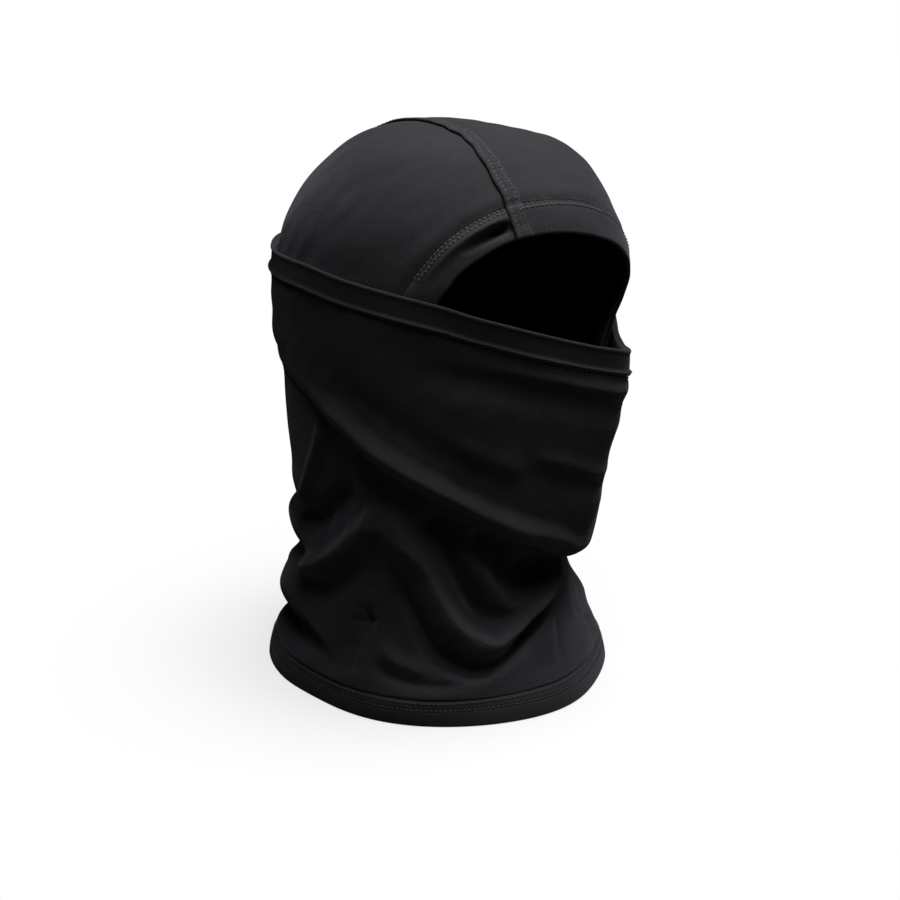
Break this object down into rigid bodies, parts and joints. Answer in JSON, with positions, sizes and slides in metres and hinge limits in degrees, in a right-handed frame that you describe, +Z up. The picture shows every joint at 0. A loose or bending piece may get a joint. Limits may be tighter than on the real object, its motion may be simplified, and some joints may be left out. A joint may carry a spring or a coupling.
{
  "type": "balaclava",
  "caption": "Close-fitting stretch-knit balaclava with a folded brow band, a pull-down face mask with its own hem, a flared neck and a stitched bottom hem.",
  "frame": {"origin": "centre of the bounding box on the plane of the bottom hem's underside", "axes": "+Z up the wearer's head, -Y the way the face looks, +X the wearer's left"},
  "size_m": [0.1696, 0.2025, 0.2867],
  "materials": {
    "knit": "matte black brushed stretch knit",
    "hem_knit": "matte black folded stretch knit",
    "thread": "black polyester sewing thread, slight sheen",
    "mask_lining_knit": "matte black smooth lining knit"
  },
  "bodies": {
    "hood": {"crown_panel_right": "knit", "crown_panel_left": "knit", "mask_panel_back": "knit", "neck_panel_front": "knit", "neck_panel_back": "knit", "crown_seam_fell": "hem_knit", "mask_hem_back": "hem_knit", "side_seam_tape_right": "hem_knit", "side_seam_tape_left": "hem_knit", "hem_band_front": "hem_knit", "hem_band_back": "hem_knit", "crown_seam_thread_inner": "thread", "crown_seam_thread_outer": "thread", "mask_hem_thread_back": "thread", "joining_seam_thread": "thread", "hem_thread_upper": "thread", "hem_thread_lower": "thread"},
    "brow_edge": {"brow_band_right": "hem_knit", "brow_band_left": "hem_knit", "brow_thread_upper_right": "thread", "brow_thread_upper_left": "thread", "brow_thread_lower_right": "thread", "brow_thread_lower_left": "thread"},
    "mask": {"mask_panel_front": "knit", "mask_lining": "mask_lining_knit", "mask_hem_front": "hem_knit", "mask_hem_thread_front": "thread"}
  },
  "joints": [
    {"name": "mask_pull_down", "type": "hinge", "parent": "hood", "child": "mask", "pos_m": [0, 0.061, 0.162], "axis": [1, 0, 0], "range_deg": [0, 22], "deforming": ["mask_panel_front", "mask_lining"]},
    {"name": "hood_push_back", "type": "hinge", "parent": "hood", "child": "brow_edge", "pos_m": [0, 0.005, 0.2], "axis": [1, 0, 0], "range_deg": [-65, 8], "deforming": ["crown_panel_right", "crown_panel_left", "crown_seam_fell", "crown_seam_thread_inner", "crown_seam_thread_outer"]}
  ]
}
